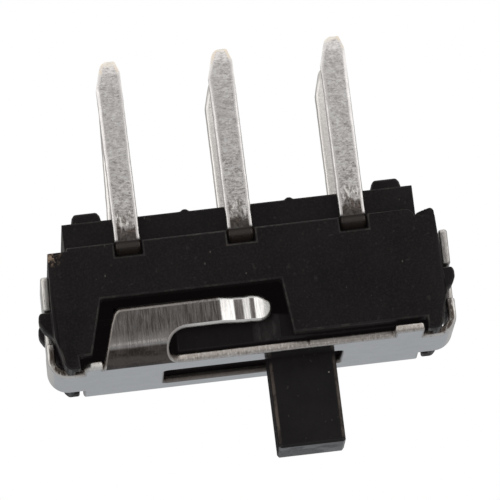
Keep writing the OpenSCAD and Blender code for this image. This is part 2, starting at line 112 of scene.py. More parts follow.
class Nodes:
    """Short helpers for a node tree. A value is a number, a colour or another node's output."""

    def __init__(self, tree):
        self.tree = tree

    def plug(self, value, socket):
        """Links an output to an input socket, or sets the socket to a plain value."""
        if isinstance(value, bpy.types.NodeSocket):
            self.tree.links.new(value, socket)
        else:
            socket.default_value = value

    def add(self, kind, **values):
        """A new node. A name with _ before it is a property, any other an input, with __ for a space."""
        n = self.tree.nodes.new(kind)
        for key, v in values.items():
            if key.startswith("_"):
                setattr(n, key[1:], v)
            else:
                self.plug(v, n.inputs[key.replace("__", " ")])
        return n

    def math(self, op, a, b=0.0):
        n = self.add("ShaderNodeMath", _operation=op)
        self.plug(a, n.inputs[0])
        self.plug(b, n.inputs[1])
        return n.outputs[0]

    def times(self, first, *others):
        """The product of all the values."""
        for v in others:
            first = self.math("MULTIPLY", first, v)
        return first

    def vector_math(self, op, a, b):
        """The single value that comes from two vectors."""
        n = self.add("ShaderNodeVectorMath", _operation=op)
        self.plug(a, n.inputs[0])
        self.plug(b, n.inputs[1])
        return n.outputs["Value"]

    def step(self, fac, low, high, to_low=0.0, to_high=1.0):
        """fac from low to high, smoothly, as to_low to to_high."""
        n = self.add("ShaderNodeMapRange", _interpolation_type="SMOOTHSTEP", Value=fac,
                     From__Min=low, From__Max=high, To__Min=to_low, To__Max=to_high)
        return n.outputs["Result"]

    def window(self, fac, one_end, other_end):
        """1 between two soft ends, each given as (where it is 0, where it is 1)."""
        return self.times(self.step(fac, *one_end), self.step(fac, *other_end))

    def ragged(self, value, uneven, amount):
        """The value, moved up and down by a noise so that its borders are uneven."""
        return self.math("ADD", value, self.times(self.math("SUBTRACT", uneven, 0.5), amount))

    def ramp(self, fac, *stops):
        """Colours or grey levels at given places between 0 and 1."""
        n = self.add("ShaderNodeValToRGB", Fac=fac)
        el = n.color_ramp.elements
        while len(el) < len(stops):
            el.new(0.5)
        for e, (p, c) in zip(el, stops):
            e.position = p
            e.color = (c, c, c, 1) if isinstance(c, (int, float)) else (*c, 1)
        return n.outputs["Color"]

    def mix(self, fac, a, b):
        """Colour a where fac is 0, colour b where it is 1."""
        n = self.add("ShaderNodeMix", _data_type="RGBA")
        self.plug(fac, n.inputs[0])
        for i, v in ((6, a), (7, b)):
            self.plug(v if isinstance(v, bpy.types.NodeSocket) else (*v, 1), n.inputs[i])
        return n.outputs[2]

    def paint(self, under, colour, *masks):
        """The colour laid over another one, as strongly as the product of the masks."""
        return self.mix(self.times(*masks), under, colour)


class Mat(Nodes):
    """A Principled material. Its positions and its bump depths are in mm."""

    def __init__(self, name, rough=0.5, metal=0.0, spec=0.5):
        self.mat = bpy.data.materials.new(name)
        self.mat.use_nodes = True
        super().__init__(self.mat.node_tree)
        self.bsdf = self.tree.nodes["Principled BSDF"]
        self.set("Roughness", rough)
        self.set("Metallic", metal)
        self.set("Specular IOR Level", spec)
        self.pos = self.scaled(self.add("ShaderNodeTexCoord").outputs["Object"], (1 / MM, 1 / MM, 1 / MM))
        self.x, self.y, self.z = self.add("ShaderNodeSeparateXYZ", Vector=self.pos).outputs

    def set(self, name, value):
        self.plug(value, self.bsdf.inputs[name])

    def attribute(self, name):
        """A value that the mesh keeps at its points."""
        return self.add("ShaderNodeAttribute", _attribute_name=name).outputs["Fac"]

    def scaled(self, vector, scale, offset=(0, 0, 0)):
        return self.add("ShaderNodeMapping", Vector=vector, Scale=scale, Location=offset).outputs[0]

    def noise(self, scale, detail=2.0, rough=0.5, stretch=(1, 1, 1), offset=(0, 0, 0), distort=0.0):
        vector = self.scaled(self.pos, stretch, offset)
        n = self.add("ShaderNodeTexNoise", Vector=vector, Scale=scale, Detail=detail, Roughness=rough,
                     Distortion=distort)
        return n.outputs["Fac"]

    def cells(self, scale, stretch):
        """Distance to the nearest of many scattered points."""
        vector = self.scaled(self.pos, stretch)
        return self.add("ShaderNodeTexVoronoi", Vector=vector, Scale=scale).outputs["Distance"]

    def spot(self, point, near, far):
        """1 within near mm of the point, 0 beyond far."""
        return self.step(self.vector_math("DISTANCE", self.pos, point), far, near)

    def glimmer(self):
        """Stray light, so that black plastic in deep shade is not pure black."""
        self.set("Emission Color", (1, 0.78, 0.82, 1))
        self.set("Emission Strength", 0.0032)

    def bump(self, height, depth, strength=1.0, after=None):
        """Bump of the given depth, on top of an earlier one."""
        n = self.add("ShaderNodeBump", Height=height, Strength=strength, Distance=depth * MM)
        if after:
            self.plug(after, n.inputs["Normal"])
        return n.outputs[0]


def housing_plastic(name="housing_black", edge=0.0):
    """Matt black moulding with grain, pale specks and dust. edge is 1 for the material of its edges."""
    m = Mat(name, spec=0.14 + 0.12 * edge)
    cloud = m.noise(1.1, 5, 0.65)
    grain = m.noise(21, 3, 0.8)
    speck = m.step(m.noise(7, 2, 0.5, offset=(3, 1, 7)), 0.66, 0.76)
    dust = m.step(m.cells(3.1, (1.3, 1, 0.8)), 0.085, 0.03)
    dusty = m.step(m.noise(0.9, 2, offset=(9, 0, 4)), 0.44, 0.56)
    base = m.mix(m.step(cloud, 0.3, 0.7), (0.0016, 0.0013, 0.0013), (0.0056, 0.0049, 0.0050))
    base = m.paint(base, (0.022, 0.0195, 0.019), m.step(grain, 0.42, 0.74, 0.0, 0.7))
    base = m.paint(base, (0.05, 0.045, 0.043), speck, 0.35)
    base = m.paint(base, (0.16, 0.145, 0.135), dust, dusty, 0.6)
    torn = m.step(m.noise(11, 3, 0.7, offset=(1, 6, 2)), 0.50, 0.60)
    base = m.paint(base, (0.30, 0.22, 0.16), m.spot(FLASH_AT, 0.06, 0.30), torn)
    # Moulding edges are painted paler here and there, as wear and as a painted highlight
    rubbed_highlight = m.step(m.noise(3.2, 4, 0.7, offset=(7, 2, 5)), 0.46, 0.66, 0.06, 0.8)
    m.set("Base Color", m.paint(base, (0.050, 0.044, 0.040), rubbed_highlight, edge))
    m.set("Roughness", m.step(grain, 0.25, 0.75, 0.36 - 0.06 * edge, 0.60 - 0.12 * edge))
    m.set("Normal", m.bump(m.noise(30, 3, 0.6), 0.006, 0.8, m.bump(cloud, 0.05, 0.6)))
    m.glimmer()
    return m.mat


def slider_plastic(name="slider_black", edge=0.0):
    """Smoother black moulding, its knob with wear and a painted highlight on its edges. edge is 1 for the
    material of its edges.
    """
    gloss = 0.185 + 0.18 * edge
    m = Mat(name, spec=gloss)
    cloud = m.noise(1.6, 4, 0.6, offset=(5, 5, 5))
    streak = m.noise(5, 4, 0.6, stretch=(3, 3, 0.5))
    speck = m.step(m.noise(10, 1, 0.4, offset=(1, 8, 2)), 0.72, 0.77)
    base = m.mix(m.step(cloud, 0.3, 0.7), (0.0030, 0.0025, 0.0025), (0.0070, 0.0061, 0.0060))
    base = m.paint(base, (0.06, 0.055, 0.05), speck, 0.4)
    base = m.paint(base, (0.42, 0.39, 0.35), m.spot(SPECK_AT, 0.005, 0.024))
    # A painted reflection of the spring's bright tip on the slider
    reflection_blotch = m.step(m.noise(7, 4, 0.7, stretch=(1, 1, 0.5)), 0.36, 0.62, 0.25, 1.0)
    base = m.paint(base, (0.034, 0.031, 0.030), m.spot(SPRING_REFLECTION_AT, 0.22, 0.31), reflection_blotch, 0.8)
    # The knob's edges are painted a brownish shine, as wear and as a painted highlight
    wide = m.math("ABSOLUTE", m.math("SUBTRACT", m.x, REST_X))
    corner = KNOB_HALF - KNOB_FRONT
    upright = m.times(m.step(m.math("SUBTRACT", wide, m.y), corner - 0.098, corner - 0.08),
                      m.step(wide, KNOB_HALF - 0.15, KNOB_HALF - 0.09))
    worn_highlight = m.times(m.step(m.noise(4, 4, 0.7, stretch=(1, 1, 0.7)), 0.38, 0.60, 0.2, 1.0),
                   m.math("MAXIMUM", upright, 0.3 * edge),
                   m.step(m.z, FACE_Z + 0.02, FACE_Z + 0.22),
                   m.step(m.z, KNOB_END - 0.08, KNOB_END - 0.14, 0.12, 0.8))
    m.set("Base Color", m.paint(base, (0.14, 0.112, 0.092), worn_highlight))
    # The knob is duller on its two flanks and shinier on its end, in blotches
    end = m.step(m.z, KNOB_END - 0.08, KNOB_END - 0.02)
    flank = m.times(m.step(wide, KNOB_HALF - 0.035, KNOB_HALF - 0.002),
                    m.step(m.z, FACE_Z - 0.28, FACE_Z - 0.08))
    shine = m.math("ADD", m.step(flank, 0, 1, gloss, 0.05), m.times(end, 0.14))
    m.set("Specular IOR Level", m.times(shine, m.step(m.z, FACE_Z + 0.02, FACE_Z + 0.62, 0.65, 1.0)))
    blotch = m.step(m.noise(1.5, 3, 0.6, stretch=(0.7, 1, 1), offset=(2.2, 0, 0)), 0.50, 0.60)
    rough = m.math("ADD", m.step(streak, 0.3, 0.7, 0.34, 0.50), m.times(flank, 0.25))
    m.set("Roughness", m.math("SUBTRACT", rough, m.times(end, m.step(blotch, 0, 1, 0.28, 0.10))))
    m.set("Normal", m.bump(m.noise(26, 3, 0.6), 0.003, 0.7))
    m.glimmer()
    return m.mat


def cover_face():
    """Bright plated sheet: mirror-like on the plate, brushed and darker on the spring, with painted
    reflections on its wave and its bend, dull inside.
    """
    m = Mat("cover_plated", metal=1.0)
    x, y, z = m.x, m.y, m.z
    brush = m.noise(13, 4, 0.7, stretch=(2.1, 2.1, 0.16))
    fine = m.noise(44, 3, 0.6, stretch=(1.6, 1.6, 0.05), offset=(2, 0, 0))
    mottle = m.noise(2.2, 5, 0.65)
    spot = m.step(m.noise(14, 2, 0.5, offset=(4, 4, 0)), 0.66, 0.74)
    face = m.mix(m.step(mottle, 0.35, 0.65), (0.84, 0.85, 0.86), (0.90, 0.91, 0.915))
    face = m.paint(face, (0.45, 0.47, 0.47), spot, 0.35)
    arm = m.mix(m.step(brush, 0.34, 0.74), (0.11, 0.098, 0.092), (0.47, 0.45, 0.44))
    arm = m.paint(arm, (0.60, 0.58, 0.57),
                  m.step(m.ragged(z, mottle, 0.5), ARM_TOP - 0.12, ARM_TOP + 0.23, 0.0, 0.45))
    # Past the start of the wave the spring is painted bright, a painted reflection of the bright sides, but
    # for the two flats of its dips, painted darker as a painted reflection of the dark front
    wave_reflection = m.mix(m.step(brush, 0.3, 0.6), (0.70, 0.69, 0.68), (0.98, 0.97, 0.96))
    flats = m.math("ADD", m.window(x, (0.35, 0.30), (0.12, 0.17)), m.window(x, (0.0, -0.04), (-0.13, -0.09)))
    dull = m.mix(m.step(brush, 0.35, 0.65), (0.24, 0.21, 0.20), (0.62, 0.58, 0.56))
    wave_reflection = m.paint(wave_reflection, dull, flats)
    arm = m.paint(arm, wave_reflection, m.step(x, WAVE_START + 0.02, WAVE_START - 0.04))
    spring = m.times(m.step(z, FACE_Z - 0.10, FACE_Z - 0.33), m.step(y, LIP_Y, LIP_Y - 0.10))
    col = m.paint(face, arm, spring)
    # Round its root bend, where the spring is stretched, it is painted dark as a painted dark reflection
    bend = m.times(m.step(z, FACE_Z - 0.43, FACE_Z - 0.36), m.step(y, LIP_Y - 0.02, LIP_Y - 0.06),
                   m.window(x, (ROOT_X + 0.008, ROOT_X), (-1.0, -0.9)))
    bend_shade_noise = m.step(m.noise(5, 4, 0.6, stretch=(0.35, 1, 1.6)), 0.40, 0.60)
    dark = m.mix(bend_shade_noise, (0.038, 0.030, 0.026), (0.092, 0.076, 0.067))
    dark = m.paint(dark, (0.16, 0.14, 0.13), m.step(brush, 0.45, 0.70, 0, 0.5))
    col = m.paint(col, dark, bend, 0.95)
    inside = m.step(m.attribute("cut"), 0.3, 0.7)
    m.set("Base Color", m.paint(col, (0.16, 0.14, 0.13), inside, 0.8))
    m.set("Metallic", m.step(inside, 0, 1, 1.0, 0.4))
    m.set("Roughness", m.math("ADD", m.step(mottle, 0.3, 0.7, 0.10, 0.16),
                              m.times(spring, m.step(brush, 0.3, 0.7, 0.08, 0.0))))
    grooves = m.times(m.math("ADD", brush, fine), m.math("ADD", m.times(spring, 0.97), 0.03))
    m.set("Normal", m.bump(grooves, 0.0016, 1.0, m.bump(mottle, 0.0015, 0.5)))
    return m.mat


def cover_cut():
    """Sheared edge of the sheet: rolled edge, torn brownish part, then a dark line at the back."""
    m = Mat("cover_cut_edge", metal=1.0)
    x, y, z = m.x, m.y, m.z
    side = m.math("ABSOLUTE", x)
    cut = m.ragged(m.attribute("cut"), m.noise(3, 3, 0.6), 0.25)
    torn = m.noise(9, 4, 0.7, stretch=(2.4, 2.4, 0.8))
    col = m.ramp(cut, (0.0, (0.70, 0.69, 0.68)), (0.12, (0.64, 0.62, 0.60)), (0.24, (0.50, 0.45, 0.42)),
                 (0.55, (0.58, 0.53, 0.49)), (0.85, (0.66, 0.61, 0.57)), (1.0, (0.40, 0.35, 0.32)))
    # The legs have their own greys, the paler one at +X
    leg = m.times(m.step(side, LEG_START + 0.06, LEG_START + 0.16), m.step(z, FACE_Z - 0.38, FACE_Z - 0.58))
    col = m.paint(col, m.mix(m.step(x, -1, 1), (0.52, 0.50, 0.485), (0.74, 0.73, 0.70)), leg, 0.85)
    # Round the bends the torn part is dark, with a bright outer line
    bend = m.times(m.step(side, TAB_X - 0.05, TAB_X + 0.18), m.step(z, FACE_Z - 0.98, FACE_Z - 0.58))
    bent_edge = m.ramp(cut, (0.0, (0.95, 0.94, 0.93)), (0.22, (0.80, 0.78, 0.76)),
                       (0.36, (0.13, 0.105, 0.09)), (0.62, (0.15, 0.12, 0.10)),
                       (0.78, (0.28, 0.24, 0.21)), (1.0, (0.12, 0.10, 0.085)))
    col = m.paint(col, bent_edge, bend)
    # On the spring: a grey roll along the free edge, a light one along the gap, both darker to the root
    brush = m.noise(15, 3, 0.6, stretch=(3.4, 3.4, 0.12))
    edge = m.mix(m.step(brush, 0.4, 0.7), (0.24, 0.22, 0.21), (0.50, 0.48, 0.47))
    edge = m.paint(edge, (0.86, 0.85, 0.84), m.step(x, WAVE_START + 0.06, WAVE_START - 0.06))
    edge = m.paint(edge, (0.13, 0.105, 0.09), m.step(cut, 0.06, 0.14))
    edge = m.paint(edge, (0.93, 0.92, 0.91), m.step(z, ARM_TOP - 0.37, ARM_TOP - 0.25))
    edge = m.paint(edge, (0.50, 0.48, 0.46), m.step(x, TIP_X + 0.29, TIP_X + 0.17))
    edge = m.paint(edge, (0.40, 0.37, 0.35), m.step(x, GAP_END - 0.77, GAP_END - 0.07, 0, 0.75))
    edge = m.paint(edge, (0.34, 0.31, 0.29), m.step(x, ROOT_X - 0.85, ROOT_X - 0.55))
    spring = m.times(m.step(y, LIP_Y - 0.12, LIP_Y - 0.20), m.step(cut, 0.75, 0.5),
                     m.window(x, (ROOT_X + 0.005, ROOT_X - 0.02), (-3.0, -2.9)))
    col = m.paint(col, edge, spring)
    elsewhere = m.math("SUBTRACT", 1.0, spring)
    col = m.paint(col, (0.80, 0.78, 0.75), m.step(torn, 0.50, 0.66), elsewhere)
    col = m.paint(col, (0.20, 0.165, 0.14), m.step(torn, 0.44, 0.32, 0, 0.7), elsewhere)
    # The slot's rim is in the shade, the tab beside the root catches the light
    across = m.math("ABSOLUTE", m.math("SUBTRACT", y, SLOT_MID))
    slot = m.times(m.step(side, SLOT_X + 0.045, SLOT_X + 0.015),
                   m.step(across, SLOT_HALF + 0.18, SLOT_HALF + 0.08))
    col = m.paint(col, (0.13, 0.105, 0.092), slot, 0.75)
    tab = m.times(m.step(y, LIP_Y - 0.14, LIP_Y - 0.22), m.step(x, ROOT_X - 0.01, ROOT_X + 0.03))
    glint = m.times(m.step(torn, 0.34, 0.50, 0.3, 1.0), m.step(cut, 0.9, 0.7, 0, 0.9))
    col = m.paint(col, (0.95, 0.94, 0.92), tab, glint)
    # Painted shade in the nick in the lip
    nick = m.spot((NICK_X, LIP_Y, FACE_Z - 0.14), 0.02, 0.05)
    m.set("Base Color", m.paint(col, (0.05, 0.042, 0.036), nick))
    m.set("Roughness", m.ramp(cut, (0.0, 0.3), (0.16, 0.35), (0.30, 0.5), (0.52, 0.45), (0.86, 0.36)))
    m.set("Normal", m.bump(torn, 0.006, 0.9))
    return m.mat


def tin():
    """Tin plate: coarse flecks and scratches on the flats, plain rims and a bright tip."""
    m = Mat("pin_tin", metal=1.0)
    z = m.z
    corner = m.attribute("corner")
    flat = m.step(corner, 0.6, 0.0)
    fleck = m.noise(22, 3, 0.65, stretch=(0.65, 0.65, 1.35))
    scratch = m.noise(9, 5, 0.8, stretch=(0.8, 0.8, 1.3), offset=(0, 3, 0), distort=0.5)
    mottle = m.noise(4, 4, 0.6)
    streak = m.noise(7, 4, 0.65, stretch=(1.5, 1.5, 0.7), offset=(1, 1, 5))
    highlight_streak = m.noise(13, 3, 0.6, stretch=(1.2, 1.2, 0.42), offset=(6, 0, 1))
    col = m.mix(m.step(mottle, 0.35, 0.65), (0.74, 0.72, 0.715), (0.84, 0.825, 0.82))
    dark = m.math("ADD", m.step(fleck, 0.42, 0.72), m.step(scratch, 0.46, 0.74))
    coarse = m.step(m.step(z, -1.6, 0.3), 0, 1, 0.54, 0.92)
    col = m.paint(col, (0.30, 0.27, 0.262), dark, flat, coarse)
    light = m.math("MAXIMUM", m.step(fleck, 0.42, 0.32), m.step(scratch, 0.40, 0.32))
    col = m.paint(col, (0.98, 0.97, 0.95), light, 0.8)
    # Close to the housing the flats have dark streaks and painted highlight streaks
    low = m.times(m.step(z, 0.0, 0.3), flat)
    col = m.paint(col, (0.22, 0.19, 0.17), low, m.step(streak, 0.46, 0.62, 0, 0.8))
    col = m.paint(col, (1, 0.98, 0.95), low, m.step(highlight_streak, 0.55, 0.60))
    tip = m.step(m.ragged(z, mottle, 0.3), PIN_Z + 0.13, PIN_Z + 0.05)
    col = m.paint(col, (0.95, 0.90, 0.82), tip, 0.7)
    rim = m.times(m.step(z, PIN_Z + 0.38, PIN_Z + 0.24), m.step(corner, 0.5, 0.9), m.step(mottle, 0.42, 0.55))
    col = m.paint(col, (0.82, 0.70, 0.55), rim, 0.6)
    # The part inside the pocket is painted in deep shade, and the two thin sides are painted grey as a
    # painted reflection
    root = m.step(m.ragged(z, streak, 0.5), SKIRT_Z - 0.42, SKIRT_Z - 0.24)
    hidden = m.math("MAXIMUM", m.step(corner, 0.8, 0.2, 0.1, 0.92), m.step(z, SKIRT_Z - 0.10, SKIRT_Z))
    glint = m.times(m.step(fleck, 0.42, 0.62), m.step(z, SKIRT_Z - 0.04, SKIRT_Z - 0.22))
    col = m.paint(col, m.mix(glint, (0.034, 0.027, 0.023), (0.18, 0.145, 0.125)), root, hidden)
    col = m.paint(col, (0.42, 0.40, 0.385), m.step(corner, 1.05, 1.6))
    # The rear row is plainer and paler away from the housing
    col = m.paint(col, (0.95, 0.925, 0.895), m.step(m.y, 0.5, 1.0, 0.0, 0.55), m.step(z, 0.55, 0.2))
    m.set("Base Color", col)
    m.set("Metallic", m.step(z, SKIRT_Z - 0.08, SKIRT_Z + 0.02, 1.0, 0.2))
    m.set("Roughness", m.math("SUBTRACT", m.step(scratch, 0.3, 0.7, 0.26, 0.42),
                              m.step(corner, 0.3, 0.9, 0, 0.12)))
    m.set("Normal", m.bump(m.times(m.math("ADD", fleck, scratch), flat), 0.008, 0.9))
    return m.mat


def bronze():
    """Brushed contact bronze."""
    m = Mat("clip_bronze", metal=1.0)
    brush = m.noise(12, 4, 0.6, stretch=(0.3, 1, 3))
    m.set("Base Color", m.mix(m.step(brush, 0.35, 0.65), (0.62, 0.38, 0.22), (0.78, 0.52, 0.34)))
    m.set("Roughness", m.step(brush, 0.3, 0.7, 0.24, 0.4))
    m.set("Normal", m.bump(brush, 0.004, 0.6))
    return m.mat


HOUSING, SLIDER, FACE, CUT, TIN, BRONZE = (
    f() for f in (housing_plastic, slider_plastic, cover_face, cover_cut, tin, bronze))
HOUSING_EDGE = housing_plastic("housing_black_edge", 1.0)
SLIDER_EDGE = slider_plastic("slider_black_edge", 1.0)


# ---------------------------------------------------------------- mesh helpers

def link_object(name, data):
    ob = bpy.data.objects.new(name, data)
    bpy.context.scene.collection.objects.link(ob)
    return ob


def make_object(name, verts, faces, mats, slots=None):
    """A smooth mesh object from points in mm. slots gives each face's material index."""
    me = bpy.data.meshes.new(name)
    me.from_pydata([(v[0] * MM, v[1] * MM, v[2] * MM) for v in verts], [], faces)
    for mt in mats:
        me.materials.append(mt)
    if slots:
        me.polygons.foreach_set("material_index", slots)
    me.polygons.foreach_set("use_smooth", [True] * len(me.polygons))
    me.update()
    return link_object(name, me)


def keep_values(ob, name, values):
    """Stores one value per point on the mesh, for its materials."""
    ob.data.attributes.new(name, "FLOAT", "POINT").data.foreach_set("value", values)


def sharpen(ob, degrees):
    """Marks the edges that stay sharp when the rest is shaded smooth."""
    bm = bmesh.new()
    bm.from_mesh(ob.data)
    limit = math.radians(degrees)
    for e in bm.edges:
        e.smooth = len(e.link_faces) == 2 and e.calc_face_angle() < limit
    bm.to_mesh(ob.data)
    bm.free()


def from_node(node, name, materials, width, segments=3):
    """A copy of a CAD node's mesh with tidy flat faces and every edge rounded to about width."""
    same_point, same_plane, is_edge = 2e-7, math.radians(0.6), math.radians(24)
    bm = bmesh.new()
    bm.from_mesh(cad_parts[node].data)
    bmesh.ops.remove_doubles(bm, verts=bm.verts, dist=same_point)
    bmesh.ops.dissolve_limit(bm, angle_limit=same_plane, verts=bm.verts, edges=bm.edges)
    weight = bm.edges.layers.float.new("bevel_weight_edge")
    for e in bm.edges:
        if len(e.link_faces) == 2 and e.calc_face_angle() > is_edge:
            # The rounding takes at most 0.4 of the shortest edge beside it
            near = min(f.calc_length() for v in e.verts for f in v.link_edges)
            e[weight] = min(1.0, 0.4 * near / (width * MM))
    me = bpy.data.meshes.new(name)
    bm.to_mesh(me)
    surface = BVHTree.FromBMesh(bm)
    bm.free()
    me.materials.clear()
    for material in materials:
        me.materials.append(material)
    me.polygons.foreach_set("material_index", [0] * len(me.polygons))
    me.polygons.foreach_set("use_smooth", [True] * len(me.polygons))
    ob = link_object(name, me)
    bev = ob.modifiers.new("round", "BEVEL")
    bev.width = width * MM
    bev.segments = segments
    bev.limit_method = "WEIGHT"
    bev.use_clamp_overlap = False
    bev.harden_normals = True
    bev.material = 1
    graph = bpy.context.evaluated_depsgraph_get()
    rounded_ob = ob.evaluated_get(graph)
    done = bpy.data.meshes.new_from_object(rounded_ob, preserve_all_data_layers=True, depsgraph=graph)
    ob.modifiers.clear()
    ob.data = done
    # A rounding that overshoots a tiny edge goes back onto the part, and none leaves the part's box
    box = [[f(c) for c in zip(*(v.co for v in me.vertices))] for f in (min, max)]
    for v in done.vertices:
        co, _, _, off = surface.find_nearest(v.co)
        if off > 0.6 * width * MM:
            v.co = co
        v.co = [min(max(c, a), b) for c, a, b in zip(v.co, *box)]
    return ob


# ---------------------------------------------------------------- cover: one bent sheet

def quarter(bend):
    """Length round a bend given as (reach out, reach down)."""
    return math.pi / 2 * math.sqrt((bend[0] ** 2 + bend[1] ** 2) / 2)


def unrolled(z, bend):
    """Length along the sheet from the start of a bend to height z."""
    down = FACE_Z - z
    if down < bend[1]:
        return quarter(bend) * math.acos(1 - down / bend[1]) / (math.pi / 2)
    return quarter(bend) + down - bend[1]


def bent(s, bend):
    """(distance out, distance down, normal out, normal down) at length s past a bend's start."""
    if s <= 0:
        return s, 0.0, 0.0, -1.0
    full = quarter(bend)
    a = min(s / full, 1.0) * math.pi / 2
    n = Vector((bend[1] * math.sin(a), -bend[0] * math.cos(a))).normalized()
    return bend[0] * math.sin(a), bend[1] * (1 - math.cos(a)) + max(0.0, s - full), n.x, n.y


def wave(x):
    """How far the spring's outer face goes in at x, and its slope along X, which counts as 0 at the tip."""
    w = v = 0.0
    for (x0, a), (x1, b) in zip(WAVE, WAVE[1:]):
        if x >= x0:
            return w, -v
        end = max(x, x1)
        v = a + (b - a) * (x0 - end) / (x0 - x1)
        w += (x0 - end) * (a + v) / 2
    return w, 0.0


def leg_point(p, q, d):
    """sheet_point on a leg. The leg at +X leans in a little, the one at -X stands off a little."""
    side = 1 if p > 0 else -1
    out, down, nx, nz = bent(abs(p) - LEG_START, LEG_BEND)
    x, z = LEG_START + out - nx * d, FACE_Z - down + nz * d
    k = max(0.0, down - LEG_BEND[1]) / (LEG_DROP - LEG_BEND[1])
    if side > 0:
        return x - 0.05 * k, q, z
    return -(x + 0.02 + 0.03 * k), q, z - 0.05 * k


def sheet_point(p, q, d):
    """The flat pattern's point (p, q), d deep in the sheet, in its place on the bent cover."""
    if abs(p) > LEG_START:
        return leg_point(p, q, d)
    s = LIP_Y - q
    if s <= 0 or p >= ROOT_X + 0.005 or p <= TIP_X - 0.1:
        return p, q, FACE_Z - d
    out, down, ny, nz = bent(s, WALL_BEND)
    w, slope, rise = 0.0, 0.0, 0.0
    if s > PAST_BEND:
        w, slope = wave(p)
        rise = 0.03 * min(1.0, max(0.0, 0.35 - p) / 0.5)
    k = 1 / math.hypot(1, slope)
    return p - 0.8 * slope * k * d, LIP_Y - out + w + ny * d * k, FACE_Z - down + rise + nz * d


def rounded(pts):
    """A closed outline from (x, y, corner radius) points, with each corner as an arc."""
    out = []
    n = len(pts)
    for i, (x, y, r) in enumerate(pts):
        a = Vector((pts[i - 1][0] - x, pts[i - 1][1] - y))
        b = Vector((pts[(i + 1) % n][0] - x, pts[(i + 1) % n][1] - y))
        la, lb = a.length, b.length
        a.normalize()
        b.normalize()
        half = math.acos(max(-1.0, min(1.0, a.dot(b)))) / 2
        # Sharp corners and nearly straight ones stay as they are
        if r <= 0 or half > math.radians(86):
            out.append((x, y))
            continue
        reach = min(r / math.tan(half), 0.45 * la, 0.45 * lb)
        r = reach * math.tan(half)
        mid = (a + b).normalized() * (r / math.sin(half))
        c = Vector((x, y)) + mid
        u, v = Vector((x, y)) + a * reach - c, Vector((x, y)) + b * reach - c
        turn = u.angle_signed(v)
        steps = max(2, int(abs(turn) * max(r, 0.05) / 0.035) + 2)
        for k in range(steps + 1):
            w = u.copy()
            w.rotate(Matrix.Rotation(-turn * k / steps, 2))
            out.append((c.x + w.x, c.y + w.y))
    return out


def half_round(cx, cy, r, start, turn):
    """25 points of a half circle of radius r, from the angle start, turning by turn."""
    angles = [start + turn * k / 24 for k in range(25)]
    return [(cx + r * math.cos(a), cy + r * math.sin(a), 0) for a in angles]


def leg_outline(side):
    """One snap leg with a notch in each side. side is 1 for the leg at +X, -1 for the other."""
    tip = LEG_START + unrolled(FACE_Z - LEG_DROP, LEG_BEND)
    n0, n1 = LEG_START + unrolled(NOTCH_TOP, LEG_BEND), LEG_START + unrolled(NOTCH_LOW, LEG_BEND)
    y0, y1, i0, i1 = LEG_FRONT, LEG_BACK, LEG_FRONT + NOTCH_DEEP, LEG_BACK - NOTCH_DEEP
    pts = [(TAB_X, y0, 0.03), (n0, y0, 0.06), (n0, i0, 0.05), (n1, i0, 0.05), (n1, y0, 0.06), (tip, y0, 0.1),
           (tip, y1, 0.1), (n1, y1, 0.06), (n1, i1, 0.05), (n0, i1, 0.05), (n0, y1, 0.06), (TAB_X, y1, 0.03)]
    return pts if side > 0 else [(-x, y, r) for x, y, r in reversed(pts)]


def root_outline(arm_low):
    """Slanting side of the spring's root, from the arm's lower edge up to the tab beside it."""
    foot, tab = ROOT_X - SLANT, ROOT_X + 0.01
    pts = [(foot - 0.035, arm_low, 0.2)]
    for k in range(2, 10):
        z = SLANT_Z + (FACE_Z - 0.004 - SLANT_Z) * k / 10
        pts.append((foot + SLANT * (z - SLANT_Z) / (FACE_Z - SLANT_Z), LIP_Y - unrolled(z, WALL_BEND), 0))
    return pts + [(ROOT_X, LIP_Y - 0.04, 0), (tab, LIP_Y, 0.01), (tab, LIP_Y - 0.28, 0.06),
                  (tab + 0.26, LIP_Y - 0.30, 0.07), (TAB_X, LIP_Y - 0.12, 0.06)]


def cover_outline():
    """Flat pattern of the cover: plate, lip, gap, spring arm, root, tab and both legs."""
    corner = 0.07
    arm0, arm1 = LIP_Y - unrolled(ARM_TOP, WALL_BEND), LIP_Y - unrolled(ARM_LOW, WALL_BEND)
    r, h = (LIP_Y - arm0) / 2, (arm0 - arm1) / 2
    pts = [(-TAB_X, -PLATE_Y, corner), (LIP_END, -PLATE_Y, corner), (LIP_END, LIP_Y + 0.03, 0.03),
           (LIP_END + corner, LIP_Y, 0.05)]
    pts += half_round(GAP_END - r, (LIP_Y + arm0) / 2, r, math.pi / 2, -math.pi)
    pts += half_round(TIP_X + h, (arm0 + arm1) / 2, h, math.pi / 2, math.pi)
    pts += root_outline(arm1)
    pts += leg_outline(1)
    pts += [(TAB_X, PLATE_Y, corner), (-TAB_X, PLATE_Y, corner)]
    pts += leg_outline(-1)
    return rounded(pts)


def slot_outline():
    low, high = SLOT_MID - SLOT_HALF, SLOT_MID + SLOT_HALF
    corners = ((SLOT_X, low), (-SLOT_X, low), (-SLOT_X, high), (SLOT_X, high))
    return rounded([(x, y, SLOT_R) for x, y in corners])


def mitre(a, v, b):
    """Direction into the material at v, left of the way from a to b. It keeps both edges parallel."""
    u, w = (v - a).normalized(), (b - v).normalized()
    n = Vector((-u.y - w.y, u.x + w.x))
    return n.normalized() * min(1.6, 2 / max(n.length, 0.6))


def roll(q):
    """Width of the rolled edge on the outer face: wider along the spring's free edge."""
    free = LIP_Y - unrolled(ARM_LOW, WALL_BEND)
    return 0.055 + 0.055 * min(1.0, max(0.0, (free + 0.22 - q) / 0.12))


def inset_loop(loop):
    """The outline of the outer face, which ends where the rolled edge starts."""
    pts = [Vector(p) for p in loop]
    return [v + mitre(pts[i - 1], v, pts[(i + 1) % len(pts)]) * roll(v.y) for i, v in enumerate(pts)]


